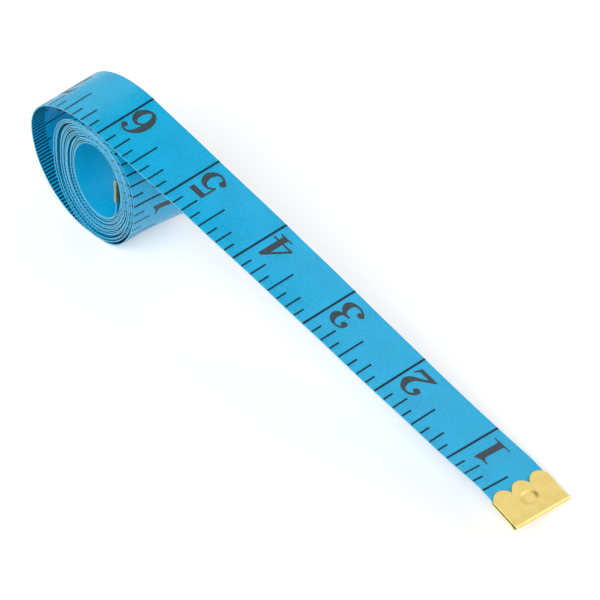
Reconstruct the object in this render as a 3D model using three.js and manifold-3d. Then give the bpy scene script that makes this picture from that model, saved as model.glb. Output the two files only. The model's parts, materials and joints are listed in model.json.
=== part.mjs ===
// A soft tape measure, rolled up: an oval coil, one loose loop round it, and a straight tail that slopes
// down from the top of the roll to the floor. A folded brass clip is crimped on each end of the tape.
// Millimetres. +X runs along the tail to the outer end, +Y across the tape, +Z up from the floor.
import * as THREE from 'three';
import { mergeVertices } from 'three/addons/utils/BufferGeometryUtils.js';
import Module from 'manifold-3d';

// The tape
const INCH = 25.4;
const TAPE_WIDTH = 20;
const TAPE_THICKNESS = 0.45;
const BEND_GAP = 0.3; // clearance between two stretches at a bend line

// The coil: an oval winding, closest at the top and looser round the other sides
const BORE_WIDTH = 16.8;
const BORE_HEIGHT = 23;
const COIL_TURNS = 6;
const TURN_GAP_TOP = 0.45;
const TURN_GAP_LEFT = 0.9;
const TURN_GAP_RIGHT = 0.58;
const TURN_GAP_FOOT = 0.86;
const COIL_STEPS = 36; // facets in one turn

// The inner end: a short lead and the tape inside its clip, close to the bore's right-hand side
const INNER_LEAD = 1.5;
const INNER_LEAN = 3; // degrees from upright, into the bore

// The loose outer loop
const FOOT_LENGTH = 5; // flat run that stands on the floor
const FOOT_SHIFT = -0.1; // middle of the foot from the middle of the coil
const BULGE_GAP = 9.1; // gap between the coil and the loop where the loop is widest
const BULGE_RISE = 5; // height of the widest point above the middle of the coil
const CROWN_GAP = 1.5; // gap between the coil and the loop at the top
const CROWN_SHIFT = -4.8; // highest point from the middle of the coil
const CROWN_RADIUS = 30;
const QUARTER_STEPS = 10; // facets in a quarter of the loop
const CROWN_STEPS = 3;

// The tail, whose tip is the outer face of the end clip's fold
const TAIL_INCHES = 6; // from the crown to the tip
const ROOT_INCHES = 1; // of these, the first stays with the loop
const TAIL_STEPS = 8; // facets in an inch
const WALK_STEPS = 120; // steps that add up the tail's course
const TAIL_TWIST = 14; // degrees at the tip, the far edge lower
const LIFT_START = 32; // distance from the tip where the tail starts to lift off its slope
const LIFT_END = 16;
const LIFT_ANGLE = 9; // degrees
const DIP_ANGLE = 2; // degrees that the end clip points below the slope
const TIP_SWAY = 4.2; // degrees that the end clip points to the near side
const CLIP_LEAD = 0.4; // straight tape behind the clip

// The clips: one folded plate, with a scalloped edge and a pressed oval dimple
const CLIP_SHEET = 0.35;
const CLIP_CLEARANCE = 0.15; // between the plate and the tape
const CLIP_OVERHANG = 0.25; // beyond each edge of the tape
const CLIP_SIDE = 9.5; // length at its sides
const SCALLOPS = 3;
const SCALLOP_RISE = 1.9;
const SCALLOP_STEPS = 6; // facets in a scallop
const FOLD_STEPS = 6;
const DIMPLE_LENGTH = 7; // across the tape
const DIMPLE_WIDTH = 4;
const DIMPLE_FLOOR = 0.15; // sheet left under the dimple
const DIMPLE_INSET = 5.6; // middle of the dimple from the fold
const DIMPLE_STEPS = 20;
const DIMPLE_RINGS = 3; // from its floor to its rim

const WELD = 1e-5; // points closer than this are one
const TAPE_FINISH = { color: 0x2fa9dc, metalness: 0, roughness: 0.5 };
const BRASS_FINISH = { color: 0xe3c565, metalness: 1, roughness: 0.3 };

// Sizes that follow
const TAIL_LENGTH = TAIL_INCHES * INCH;
const HALF = TAPE_THICKNESS / 2;
const PITCH_TOP = TAPE_THICKNESS + TURN_GAP_TOP;
const PITCH_LEFT = TAPE_THICKNESS + TURN_GAP_LEFT;
const PITCH_RIGHT = TAPE_THICKNESS + TURN_GAP_RIGHT;
const PITCH_FOOT = TAPE_THICKNESS + TURN_GAP_FOOT;
const PITCH_ACROSS = (PITCH_LEFT + PITCH_RIGHT) / 2;
const PITCH_UPRIGHT = (PITCH_TOP + PITCH_FOOT) / 2;
const COIL_HALF_WIDTH = BORE_WIDTH / 2 + HALF + PITCH_ACROSS * COIL_TURNS;
const COIL_HALF_HEIGHT = BORE_HEIGHT / 2 + HALF + PITCH_UPRIGHT * COIL_TURNS;
const COIL_MIDDLE = COIL_HALF_HEIGHT + HALF;
const CLIP_SLOT = TAPE_THICKNESS + 2 * CLIP_CLEARANCE;
const CLIP_HEIGHT = CLIP_SLOT + 2 * CLIP_SHEET;
const CLIP_WIDTH = TAPE_WIDTH + 2 * CLIP_OVERHANG;
const CLIP_FOLD = CLIP_CLEARANCE + CLIP_SHEET; // outer face of the fold, beyond the end of the tape
const CLIP_REACH = CLIP_SIDE + SCALLOP_RISE - CLIP_FOLD; // back from the end of the tape
const CLIP_FLAT = CLIP_FOLD + CLIP_REACH + CLIP_LEAD; // straight run from the tip
const INNER_LENGTH = INNER_LEAD + CLIP_REACH;

const wasm = await Module();
wasm.setup();

const degrees = (angle) => THREE.MathUtils.degToRad(angle);

// A place on the tape's middle plane: its point, and the directions along the tape, across it and out of
// its inch side. The tape falls below level, sways to the near side and twists its far edge down.
function station(point, fall, sway = 0, twist = 0) {
  const turn = new THREE.Matrix4().makeRotationFromEuler(new THREE.Euler(-twist, fall, -sway, 'ZYX'));
  const along = new THREE.Vector3();
  const across = new THREE.Vector3();
  const normal = new THREE.Vector3();
  turn.extractBasis(along, across, normal);
  return { point, along, across, normal };
}

// Stations through a list of [x, z] points, each heading from the point before it to the point after it
function stationsThrough(points) {
  return points.map(([x, z], i) => {
    const before = points[Math.max(i - 1, 0)];
    const after = points[Math.min(i + 1, points.length - 1)];
    return station(new THREE.Vector3(x, 0, z), Math.atan2(before[1] - after[1], after[0] - before[0]));
  });
}

// A closed strip of the tape's section along a list of stations
function ribbon(stations) {
  const corners = [[-1, -1], [1, -1], [1, 1], [-1, 1]];
  const positions = [];
  const index = [];
  for (const { point, across, normal } of stations) {
    for (const [side, face] of corners) {
      const corner = point.clone();
      corner.addScaledVector(across, side * TAPE_WIDTH / 2);
      corner.addScaledVector(normal, face * HALF);
      positions.push(corner.x, corner.y, corner.z);
    }
  }
  for (let i = 0; i < stations.length - 1; i += 1) {
    for (let k = 0; k < 4; k += 1) {
      const a = 4 * i + k;
      const b = 4 * i + (k + 1) % 4;
      index.push(a, b, b + 4, a, b + 4, a + 4);
    }
  }
  const last = 4 * (stations.length - 1);
  index.push(0, 3, 2, 0, 2, 1);
  index.push(last, last + 1, last + 2, last, last + 2, last + 3);
  const geometry = new THREE.BufferGeometry();
  geometry.setAttribute('position', new THREE.Float32BufferAttribute(positions, 3));
  geometry.setIndex(index);
  geometry.computeVertexNormals();
  return geometry;
}

// The coil's middle line, by turns counted inwards from the right-hand side
function coilPoint(turns) {
  const angle = 2 * Math.PI * turns;
  const middleX = (PITCH_LEFT - PITCH_RIGHT) / 2 * turns;
  const middleZ = COIL_MIDDLE + (PITCH_FOOT - PITCH_TOP) / 2 * turns;
  const halfWidth = COIL_HALF_WIDTH - PITCH_ACROSS * turns;
  const halfHeight = COIL_HALF_HEIGHT - PITCH_UPRIGHT * turns;
  return [middleX + halfWidth * Math.cos(angle), middleZ + halfHeight * Math.sin(angle)];
}

// The coil stops short of its last full turn by the rise that centres the inner end on the bore
function coilEndTurns() {
  const bore = BORE_HEIGHT / 2 + HALF;
  return COIL_TURNS - Math.asin(INNER_LENGTH / 2 / bore) / (2 * Math.PI);
}

function coilPoints() {
  const end = coilEndTurns();
  const count = Math.floor(end * COIL_STEPS);
  const points = [coilPoint(end)];
  for (let i = count; i >= 0; i -= 1) {
    points.push(coilPoint(i / COIL_STEPS));
  }
  return points;
}

// One quarter of the loop, from an upright side to a level one or back, round a middle point
function quarter(middle, size, from, to) {
  const points = [];
  for (let i = 0; i <= QUARTER_STEPS; i += 1) {
    const angle = from + (to - from) * i / QUARTER_STEPS;
    points.push([middle[0] + size[0] * Math.cos(angle), middle[1] + size[1] * Math.sin(angle)]);
  }
  return points;
}

const coilLeft = coilPoint(0.5)[0];
const coilTop = coilPoint(0.25)[1];
const footRight = FOOT_SHIFT + FOOT_LENGTH / 2;
const footLeft = FOOT_SHIFT - FOOT_LENGTH / 2;
const bulge = [coilLeft - TAPE_THICKNESS - BULGE_GAP, COIL_MIDDLE + BULGE_RISE];
const crown = [CROWN_SHIFT, coilTop + TAPE_THICKNESS + CROWN_GAP];

// The loose loop, from the coil's outer end down the right, under, up the left and over to the crown
function loopPoints() {
  const rightSize = [COIL_HALF_WIDTH - footRight, COIL_MIDDLE - HALF];
  const start = -BEND_GAP / rightSize[1];
  const right = quarter([footRight, COIL_MIDDLE], rightSize, start, -Math.PI / 2);
  const left = quarter([footLeft, bulge[1]], [footLeft - bulge[0], bulge[1] - HALF], -Math.PI / 2, -Math.PI);
  const shoulderSize = [crown[0] - bulge[0], crown[1] - bulge[1]];
  const shoulder = quarter([crown[0], bulge[1]], shoulderSize, Math.PI, Math.PI / 2);
  return [...right, ...left, ...shoulder.slice(1)];
}

// How far a distance from the tip has come from one place on the tail to another, from 0 to 1
function share(distance, from, to) {
  return THREE.MathUtils.clamp((from - distance) / (from - to), 0, 1);
}

// The tail's fall below level: straight, a slight lift, then the dip into the clip
function tailFall(distance, slope) {
  const lifted = degrees(LIFT_ANGLE) * share(distance, LIFT_START, LIFT_END);
  const dipped = degrees(LIFT_ANGLE + DIP_ANGLE) * share(distance, LIFT_END, CLIP_FLAT);
  return slope - lifted + dipped;
}

function tailSway(distance) {
  return degrees(TIP_SWAY) * share(distance, LIFT_START, CLIP_FLAT);
}

// A station of the tail at a distance from the tip, found by walking down from the crown
function tailStation(distance, slope) {
  const step = (TAIL_LENGTH - distance) / WALK_STEPS;
  const point = new THREE.Vector3(crown[0], 0, crown[1] - CROWN_RADIUS);
  point.x += CROWN_RADIUS * Math.sin(slope);
  point.z += CROWN_RADIUS * Math.cos(slope);
  for (let i = 0; i < WALK_STEPS; i += 1) {
    const passed = TAIL_LENGTH - step * (i + 0.5);
    point.addScaledVector(station(point, tailFall(passed, slope), tailSway(passed)).along, step);
  }
  const twist = degrees(TAIL_TWIST) * share(distance, TAIL_LENGTH, CLIP_FLAT);
  return station(point, tailFall(distance, slope), tailSway(distance), twist);
}

// Height of the end clip's lowest point, on the far side of its fold
function clipLowest(slope) {
  const { point, along, across, normal } = tailStation(CLIP_FOLD, slope);
  const fold = point.clone();
  fold.addScaledVector(along, CLIP_FOLD - CLIP_HEIGHT / 2);
  fold.addScaledVector(across, CLIP_WIDTH / 2);
  return fold.z - CLIP_HEIGHT / 2 * Math.hypot(along.z, normal.z);
}

// The slope that sets the end clip down on the floor, halved to until no number lies between
function tailSlope() {
  let low = 0;
  let high = Math.PI / 4;
  let middle = high / 2;
  while (low < middle && middle < high) {
    if (clipLowest(middle) > 0) {
      low = middle;
    } else {
      high = middle;
    }
    middle = (low + high) / 2;
  }
  return middle;
}

const slope = tailSlope();

function crownPoints() {
  const points = [];
  for (let i = 1; i <= CROWN_STEPS; i += 1) {
    const angle = slope * i / CROWN_STEPS;
    points.push([crown[0] + CROWN_RADIUS * Math.sin(angle), crown[1] - CROWN_RADIUS * (1 - Math.cos(angle))]);
  }
  return points;
}

// The tail's stations between two inch marks, short of each bend line by half of its gap
function tailStations(fromInch, toInch) {
  const start = fromInch === TAIL_INCHES ? TAIL_LENGTH : fromInch * INCH - BEND_GAP / 2;
  const end = toInch === 0 ? CLIP_FOLD : toInch * INCH + BEND_GAP / 2;
  const count = Math.round((fromInch - toInch) * TAIL_STEPS);
  const stations = [];
  for (let i = 0; i <= count; i += 1) {
    stations.push(tailStation(start + (end - start) * i / count, slope));
  }
  return stations;
}

// A station of the inner end, at a distance from the coil's last point. These run the other way along the
// tape, so out of them is its centimetre side, which faces the bore.
function innerStation(distance) {
  const [x, z] = coilPoint(coilEndTurns());
  const fall = -Math.PI / 2 - degrees(INNER_LEAN);
  const { point, along, across, normal } = station(new THREE.Vector3(x, 0, z), fall);
  return { point: point.addScaledVector(along, distance), along, across, normal };
}

// A closed mesh with only its positions, as a solid for joins and cuts
function solid(geometry) {
  const bare = geometry.clone();
  bare.deleteAttribute('normal');
  bare.deleteAttribute('uv');
  const merged = mergeVertices(bare, WELD);
  return new wasm.Manifold(new wasm.Mesh({
    numProp: 3,
    vertProperties: new Float32Array(merged.attributes.position.array),
    triVerts: new Uint32Array(merged.index.array),
  }));
}

function fromSolid(body) {
  const mesh = body.getMesh();
  const geometry = new THREE.BufferGeometry();
  geometry.setAttribute('position', new THREE.Float32BufferAttribute(mesh.vertProperties, 3));
  geometry.setIndex(Array.from(mesh.triVerts));
  return geometry;
}

// The plate folded over the tape, seen from the side, as wide as the clip
function foldedPlate() {
  const back = -CLIP_REACH;
  const foldMiddle = CLIP_FOLD - CLIP_HEIGHT / 2;
  const shape = new THREE.Shape();
  shape.moveTo(back, -CLIP_HEIGHT / 2);
  shape.lineTo(foldMiddle, -CLIP_HEIGHT / 2);
  shape.absarc(foldMiddle, 0, CLIP_HEIGHT / 2, -Math.PI / 2, Math.PI / 2, false);
  shape.lineTo(back, CLIP_HEIGHT / 2);
  shape.lineTo(back, CLIP_SLOT / 2);
  shape.lineTo(CLIP_CLEARANCE, CLIP_SLOT / 2);
  shape.lineTo(CLIP_CLEARANCE, -CLIP_SLOT / 2);
  shape.lineTo(back, -CLIP_SLOT / 2);
  shape.closePath();
  const geometry = new THREE.ExtrudeGeometry(shape, {
    depth: CLIP_WIDTH,
    bevelEnabled: false,
    curveSegments: FOLD_STEPS,
  });
  geometry.rotateX(Math.PI / 2);
  geometry.translate(0, CLIP_WIDTH / 2, 0);
  return geometry;
}

// The plate's outline from above: straight sides and a row of scallops
function scallopedOutline() {
  const back = CLIP_FOLD - CLIP_SIDE;
  const width = CLIP_WIDTH / SCALLOPS;
  const shape = new THREE.Shape();
  shape.moveTo(CLIP_FOLD, CLIP_WIDTH / 2);
  for (let i = 0; i < SCALLOPS; i += 1) {
    const middle = CLIP_WIDTH / 2 - (i + 0.5) * width;
    for (let k = 0; k <= SCALLOP_STEPS; k += 1) {
      const angle = Math.PI * k / SCALLOP_STEPS;
      if (i === 0 || k > 0) {
        shape.lineTo(back - SCALLOP_RISE * Math.sin(angle), middle + width / 2 * Math.cos(angle));
      }
    }
  }
  shape.lineTo(CLIP_FOLD, -CLIP_WIDTH / 2);
  shape.closePath();
  const geometry = new THREE.ExtrudeGeometry(shape, { depth: 2 * CLIP_HEIGHT, bevelEnabled: false });
  geometry.translate(0, 0, -CLIP_HEIGHT);
  return geometry;
}

// What the dimple takes out of the upper plate, an oval bowl open at its outer face
function dimple() {
  const depth = CLIP_SHEET - DIMPLE_FLOOR;
  const profile = [];
  for (let i = 0; i <= DIMPLE_RINGS; i += 1) {
    const angle = Math.PI / 2 * i / DIMPLE_RINGS;
    profile.push(new THREE.Vector2(Math.sin(angle), -depth * Math.cos(angle)));
  }
  profile.push(new THREE.Vector2(1, CLIP_SHEET), new THREE.Vector2(0, CLIP_SHEET));
  const geometry = new THREE.LatheGeometry(profile, DIMPLE_STEPS);
  geometry.rotateX(Math.PI / 2);
  geometry.scale(DIMPLE_WIDTH / 2, DIMPLE_LENGTH / 2, 1);
  geometry.translate(CLIP_FOLD - DIMPLE_INSET, 0, CLIP_HEIGHT / 2);
  return geometry;
}

function clipGeometry() {
  const plate = solid(foldedPlate()).intersect(solid(scallopedOutline()));
  return fromSolid(plate.subtract(solid(dimple())));
}

// Least clear gap between faces of the wound tape, measured on stations at least half a turn apart
function leastGap(stations) {
  let least = Infinity;
  const apart = COIL_STEPS / 2;
  for (let i = 0; i < stations.length; i += 1) {
    for (let j = i + apart; j < stations.length; j += 1) {
      const outer = stations[i].point.clone().addScaledVector(stations[i].normal, HALF);
      const inner = stations[j].point.clone().addScaledVector(stations[j].normal, -HALF);
      least = Math.min(least, outer.distanceTo(inner));
    }
  }
  return least;
}

const tape = new THREE.Group();

function add(name, geometry, finish) {
  const mesh = new THREE.Mesh(geometry, new THREE.MeshStandardMaterial(finish));
  mesh.name = name;
  tape.add(mesh);
  return mesh;
}

const addTape = (name, stations) => add(name, ribbon(stations), TAPE_FINISH);

// Sets a clip on the end of the tape at its last station
function addClip(name, { point, along, across, normal }) {
  const mesh = add(name, clipGeometry(), BRASS_FINISH);
  mesh.applyMatrix4(new THREE.Matrix4().makeBasis(along, across, normal).setPosition(point));
}

const coilStations = stationsThrough(coilPoints());
const rollStations = stationsThrough([...loopPoints(), ...crownPoints()]);
const loopStations = [...rollStations, ...tailStations(TAIL_INCHES, TAIL_INCHES - ROOT_INCHES).slice(1)];
const gap = leastGap([...coilStations, ...loopStations]);
console.log(`least gap of the wound tape to itself ${gap.toFixed(3)} mm`);

addTape('coil', coilStations);
addTape('outer_loop', loopStations);
for (let inch = TAIL_INCHES - ROOT_INCHES; inch > 0; inch -= 1) {
  addTape(`tail_inch_${inch}`, tailStations(inch, inch - 1));
}
addClip('end_clip', tailStation(CLIP_FOLD, slope));
addTape('inner_end', [innerStation(BEND_GAP), innerStation(INNER_LENGTH)]);
addClip('inner_clip', innerStation(INNER_LENGTH));

// The origin is under the middle of the whole, on the floor
const box = new THREE.Box3().setFromObject(tape, true);
const middle = box.getCenter(new THREE.Vector3());
tape.position.set(-middle.x, -middle.y, -box.min.z);

export default tape;
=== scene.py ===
"""A soft tape measure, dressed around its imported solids: wound cloth tape, printed scales and brass clips."""
import json
import logging
import math
from dataclasses import dataclass, field
from enum import Enum
from typing import Any, Iterable

import bpy
import numpy as np
from mathutils import Matrix, Vector
from mathutils.geometry import delaunay_2d_cdt


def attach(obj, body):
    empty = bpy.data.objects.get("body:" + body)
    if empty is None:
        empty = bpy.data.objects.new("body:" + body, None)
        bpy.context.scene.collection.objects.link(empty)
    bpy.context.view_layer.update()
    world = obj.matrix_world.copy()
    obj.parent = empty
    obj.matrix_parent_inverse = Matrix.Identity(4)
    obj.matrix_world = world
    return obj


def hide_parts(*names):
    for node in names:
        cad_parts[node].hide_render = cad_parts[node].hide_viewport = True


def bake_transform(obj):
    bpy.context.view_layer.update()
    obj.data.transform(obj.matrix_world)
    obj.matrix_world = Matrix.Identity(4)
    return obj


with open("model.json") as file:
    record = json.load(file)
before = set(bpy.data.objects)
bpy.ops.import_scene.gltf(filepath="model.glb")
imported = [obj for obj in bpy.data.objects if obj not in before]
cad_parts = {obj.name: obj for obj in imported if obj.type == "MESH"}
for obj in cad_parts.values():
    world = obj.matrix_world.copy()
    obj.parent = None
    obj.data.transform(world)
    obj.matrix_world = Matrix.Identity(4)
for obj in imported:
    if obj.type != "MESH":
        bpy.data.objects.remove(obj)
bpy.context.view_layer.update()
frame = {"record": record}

LOG = logging.getLogger("tape_measure")
MILLIMETRE = 0.001
INCH = 25.4
FLOOR_REACH = 3000.0
# Places closer than this are one place
TOUCH = 1e-4
# Faces that meet more sharply than this have a hard edge between them
SHARP = math.radians(40)
# The print stops this far short of the slit edges
SLIT = 0.02
# Ink widens each pen stroke by this much
INK_SPREAD = 0.16
# The inch lines at which the tail bends, from the roll outwards
BENDS = (5, 4, 3, 2, 1)

Pair = tuple[float, float]
Point2 = tuple[float, float]
Four = tuple[float, float, float, float]


# Colour and node helpers

def linear(colour: str) -> tuple[float, float, float, float]:
    """Turn an sRGB hex colour into linear red, green, blue and alpha.

    Args:
        colour: a colour such as "#3cb2de".

    Returns:
        Four linear values, with alpha 1.
    """
    parts = [int(colour[i:i + 2], 16) / 255 for i in (1, 3, 5)]
    red, green, blue = (c / 12.92 if c <= 0.04045 else ((c + 0.055) / 1.055) ** 2.4 for c in parts)
    return (red, green, blue, 1.0)


def add_node(tree: bpy.types.NodeTree, kind: str, sockets: dict[Any, Any] | None = None,
             stops: Iterable[tuple[float, str]] = (), **settings: Any) -> bpy.types.Node:
    """Add one node with its settings, values and links.

    Args:
        tree: the tree that takes the node.
        kind: the node's Blender type.
        sockets: input names or numbers, each with a value or with the output that feeds it.
        stops: for a colour ramp, each stop's place from 0 to 1 and its hex colour.
        settings: the node's own attributes.

    Returns:
        The new node.
    """
    node = tree.nodes.new(kind)
    for name, value in settings.items():
        setattr(node, name, value)
    for name, value in (sockets or {}).items():
        if isinstance(value, bpy.types.NodeSocket):
            tree.links.new(value, node.inputs[name])
        else:
            node.inputs[name].default_value = value
    for i, (place, colour) in enumerate(stops):
        elements = node.color_ramp.elements
        stop = elements[i] if i < len(elements) else elements.new(place)
        stop.position, stop.color = place, linear(colour)
    return node


def new_material(name: str) -> tuple[bpy.types.Material, bpy.types.NodeTree]:
    """Start a node material.

    Args:
        name: the material's name.

    Returns:
        The material and its empty tree.
    """
    material = bpy.data.materials.new(name)
    material.use_nodes = True
    material.node_tree.nodes.clear()
    return material, material.node_tree


def wave_scale(pitch: float) -> float:
    """Scale of a wave texture whose bands are pitch apart. At scale 1 it has a band every 2 pi / 20 units."""
    return 2 * math.pi / (20 * pitch)


# Finishes

@dataclass(frozen=True)
class CoatedClothFinish:
    """Glass-fibre cloth, woven and then coated with soft vinyl.

    The coat gives an even blue with a satin sheen, and the yarns under it show as a faint grid of ribs.
    """

    name: str = "vinyl_coated_glass_cloth"
    pale: str = "#10b7e5"
    deep: str = "#04abda"
    # The real yarns lie about 0.5 mm apart. They are drawn wider apart, so that the render shows them.
    yarn_pitch: float = 0.8
    yarn_wander: float = 0.6
    yarn_height: float = 0.035
    yarn_strength: float = 0.07
    ripple_size: float = 9.0
    ripple_height: float = 0.05
    ripple_strength: float = 0.6
    # What the ripple and the yarns add to the fine grit, and where on their sum the tint turns from deep to pale
    ripple_tint: float = 0.7
    yarn_tint: float = 0.018
    tint_span: Pair = (0.68, 0.93)
    # Between the yarns and on them
    roughness: Pair = (0.32, 0.27)
    ior: float = 1.46
    # The coat is thin enough for some light to pass through it, and for the least of the red.
    glow: float = 0.58
    glow_depth: float = 0.4
    glow_reach: tuple[float, float, float] = (0.2, 0.8, 1.0)

    def material(self) -> bpy.types.Material:
        """Build the material on the tape's own coordinates, in millimetres along and across it.

        Returns:
            The material.
        """
        material, tree = new_material(self.name)
        place = add_node(tree, "ShaderNodeUVMap", uv_map="tape").outputs["UV"]
        weft, warp = (
            add_node(tree, "ShaderNodeTexWave",
                     {"Vector": place, "Scale": wave_scale(self.yarn_pitch), "Distortion": self.yarn_wander,
                      "Detail": 1.0, "Detail Scale": 2.0}, bands_direction=side).outputs["Fac"]
            for side in ("X", "Y"))
        weave = add_node(tree, "ShaderNodeMath", {0: weft, 1: warp}, operation="MAXIMUM").outputs[0]
        ripple, tint = (
            add_node(tree, "ShaderNodeTexNoise",
                     {"Vector": place, "Scale": 1 / size, "Detail": detail}).outputs["Fac"]
            for size, detail in ((self.ripple_size, 2.0), (self.yarn_pitch, 3.0)))
        for pattern, part in ((ripple, self.ripple_tint), (weave, self.yarn_tint)):
            tint = add_node(tree, "ShaderNodeMath", {0: pattern, 1: part, 2: tint},
                            operation="MULTIPLY_ADD").outputs[0]
        ramp = add_node(tree, "ShaderNodeValToRGB", {"Fac": tint}, zip(self.tint_span, (self.deep, self.pale)))
        rough = add_node(tree, "ShaderNodeMapRange",
                         {"Value": weave, "To Min": self.roughness[0], "To Max": self.roughness[1]})
        yarn_bump = add_node(tree, "ShaderNodeBump", {"Height": weave, "Strength": self.yarn_strength,
                                                      "Distance": self.yarn_height * MILLIMETRE})
        bump = add_node(tree, "ShaderNodeBump", {"Height": ripple, "Strength": self.ripple_strength,
                                                 "Distance": self.ripple_height * MILLIMETRE,
                                                 "Normal": yarn_bump.outputs[0]})
        shader = add_node(tree, "ShaderNodeBsdfPrincipled",
                          {"Base Color": ramp.outputs["Color"], "Roughness": rough.outputs[0],
                           "Normal": bump.outputs[0], "IOR": self.ior, "Subsurface Weight": self.glow,
                           "Subsurface Radius": self.glow_reach, "Subsurface Scale": self.glow_depth * MILLIMETRE})
        add_node(tree, "ShaderNodeOutputMaterial", {"Surface": shader.outputs[0]})
        return material


@dataclass(frozen=True)
class CutEdgeFinish:
    """The slit edge of the coated cloth.

    It shows pale yarn ends, with dark dots in the roll, where rubbing has drawn ink over it.
    """

    name: str = "slit_glass_cloth_edge"
    pale: str = "#84cde8"
    deep: str = "#42a6ce"
    ink: str = "#185a7a"
    # The yarn ends are drawn coarser than the real 0.3 mm ones, so that the render shows them.
    grain: float = 0.5
    grain_span: Pair = (0.36, 0.62)
    millimetre_tick: float = 0.42
    eighth_tick: float = 0.18
    # Each side's dots reach a little past the edge's middle. The edge runs from 1 at the front to -1 at the back.
    past_middle: float = 0.1
    rubbed_from: float = 10.5 * INCH
    faint_from: float = 30 * INCH
    faint: float = 0.25
    wear: float = 0.55
    wear_span: Pair = (0.3, 0.6)
    roughness: float = 0.7

    def material(self) -> bpy.types.Material:
        """Build the material on the edge's coordinates: millimetres along the tape, and front or back across it.

        Returns:
            The material.
        """
        material, tree = new_material(self.name)
        place = add_node(tree, "ShaderNodeUVMap", uv_map="tape").outputs["UV"]
        parts = add_node(tree, "ShaderNodeSeparateXYZ", {"Vector": place})
        along, across = parts.outputs["X"], parts.outputs["Y"]
        grain = add_node(tree, "ShaderNodeTexNoise",
                         {"Vector": place, "Scale": 1 / self.grain, "Detail": 2.0, "Roughness": 0.7}).outputs["Fac"]
        yarn = add_node(tree, "ShaderNodeValToRGB", {"Fac": grain}, zip(self.grain_span, (self.deep, self.pale)))
        dots = []
        for pitch, dark, limit, test in ((1.0, self.millimetre_tick, self.past_middle, "LESS_THAN"),
                                         (INCH / 8, self.eighth_tick, -self.past_middle, "GREATER_THAN")):
            turns = add_node(tree, "ShaderNodeMath", {0: along, 1: 1 / pitch}, operation="MULTIPLY").outputs[0]
            phase = add_node(tree, "ShaderNodeMath", {0: turns, 1: dark / 2}, operation="ADD").outputs[0]
            cycle = add_node(tree, "ShaderNodeMath", {0: phase}, operation="FRACT").outputs[0]
            tick = add_node(tree, "ShaderNodeMath", {0: cycle, 1: dark}, operation="LESS_THAN").outputs[0]
            side = add_node(tree, "ShaderNodeMath", {0: across, 1: limit}, operation=test).outputs[0]
            dots.append(add_node(tree, "ShaderNodeMath", {0: tick, 1: side}, operation="MULTIPLY").outputs[0])
        inked = add_node(tree, "ShaderNodeMath", {0: dots[0], 1: dots[1]}, operation="MAXIMUM").outputs[0]
        worn = add_node(tree, "ShaderNodeMapRange", {"Value": grain, "From Min": self.wear_span[0],
                                                     "From Max": self.wear_span[1], "To Max": self.wear})
        rolled = add_node(tree, "ShaderNodeMath", {0: along, 1: self.rubbed_from}, operation="GREATER_THAN")
        depth = add_node(tree, "ShaderNodeMapRange", {"Value": along, "From Min": self.rubbed_from,
                                                      "From Max": self.faint_from, "To Min": 1.0,
                                                      "To Max": self.faint})
        for part in (worn, depth, rolled):
            inked = add_node(tree, "ShaderNodeMath", {0: inked, 1: part.outputs[0]}, operation="MULTIPLY").outputs[0]
        colour = add_node(tree, "ShaderNodeMix",
                          {"Factor": inked, "A": yarn.outputs["Color"], "B": linear(self.ink)}, data_type="RGBA")
        shader = add_node(tree, "ShaderNodeBsdfPrincipled",
                          {"Base Color": colour.outputs["Result"], "Roughness": self.roughness})
        add_node(tree, "ShaderNodeOutputMaterial", {"Surface": shader.outputs[0]})
        return material


@dataclass(frozen=True)
class InkFinish:
    """Screen-printed ink: a dull, near-black film that is thin over the yarns."""

    name: str = "screen_printed_ink"
    dense: str = "#37424a"
    thin: str = "#46525a"
    mottle: float = 0.9
    mottle_span: Pair = (0.35, 0.7)
    roughness: Pair = (0.3, 0.5)
    ior: float = 1.33

    def material(self) -> bpy.types.Material:
        """Build the material on the print's own coordinates, in millimetres.

        Returns:
            The material.
        """
        material, tree = new_material(self.name)
        place = add_node(tree, "ShaderNodeUVMap", uv_map="tape").outputs["UV"]
        mottle = add_node(tree, "ShaderNodeTexNoise",
                          {"Vector": place, "Scale": 1 / self.mottle, "Detail": 3.0}).outputs["Fac"]
        ramp = add_node(tree, "ShaderNodeValToRGB", {"Fac": mottle}, zip(self.mottle_span, (self.dense, self.thin)))
        rough = add_node(tree, "ShaderNodeMapRange",
                         {"Value": mottle, "To Min": self.roughness[0], "To Max": self.roughness[1]})
        shader = add_node(tree, "ShaderNodeBsdfPrincipled",
                          {"Base Color": ramp.outputs["Color"], "Roughness": rough.outputs[0], "IOR": self.ior})
        add_node(tree, "ShaderNodeOutputMaterial", {"Surface": shader.outputs[0]})
        return material


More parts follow.
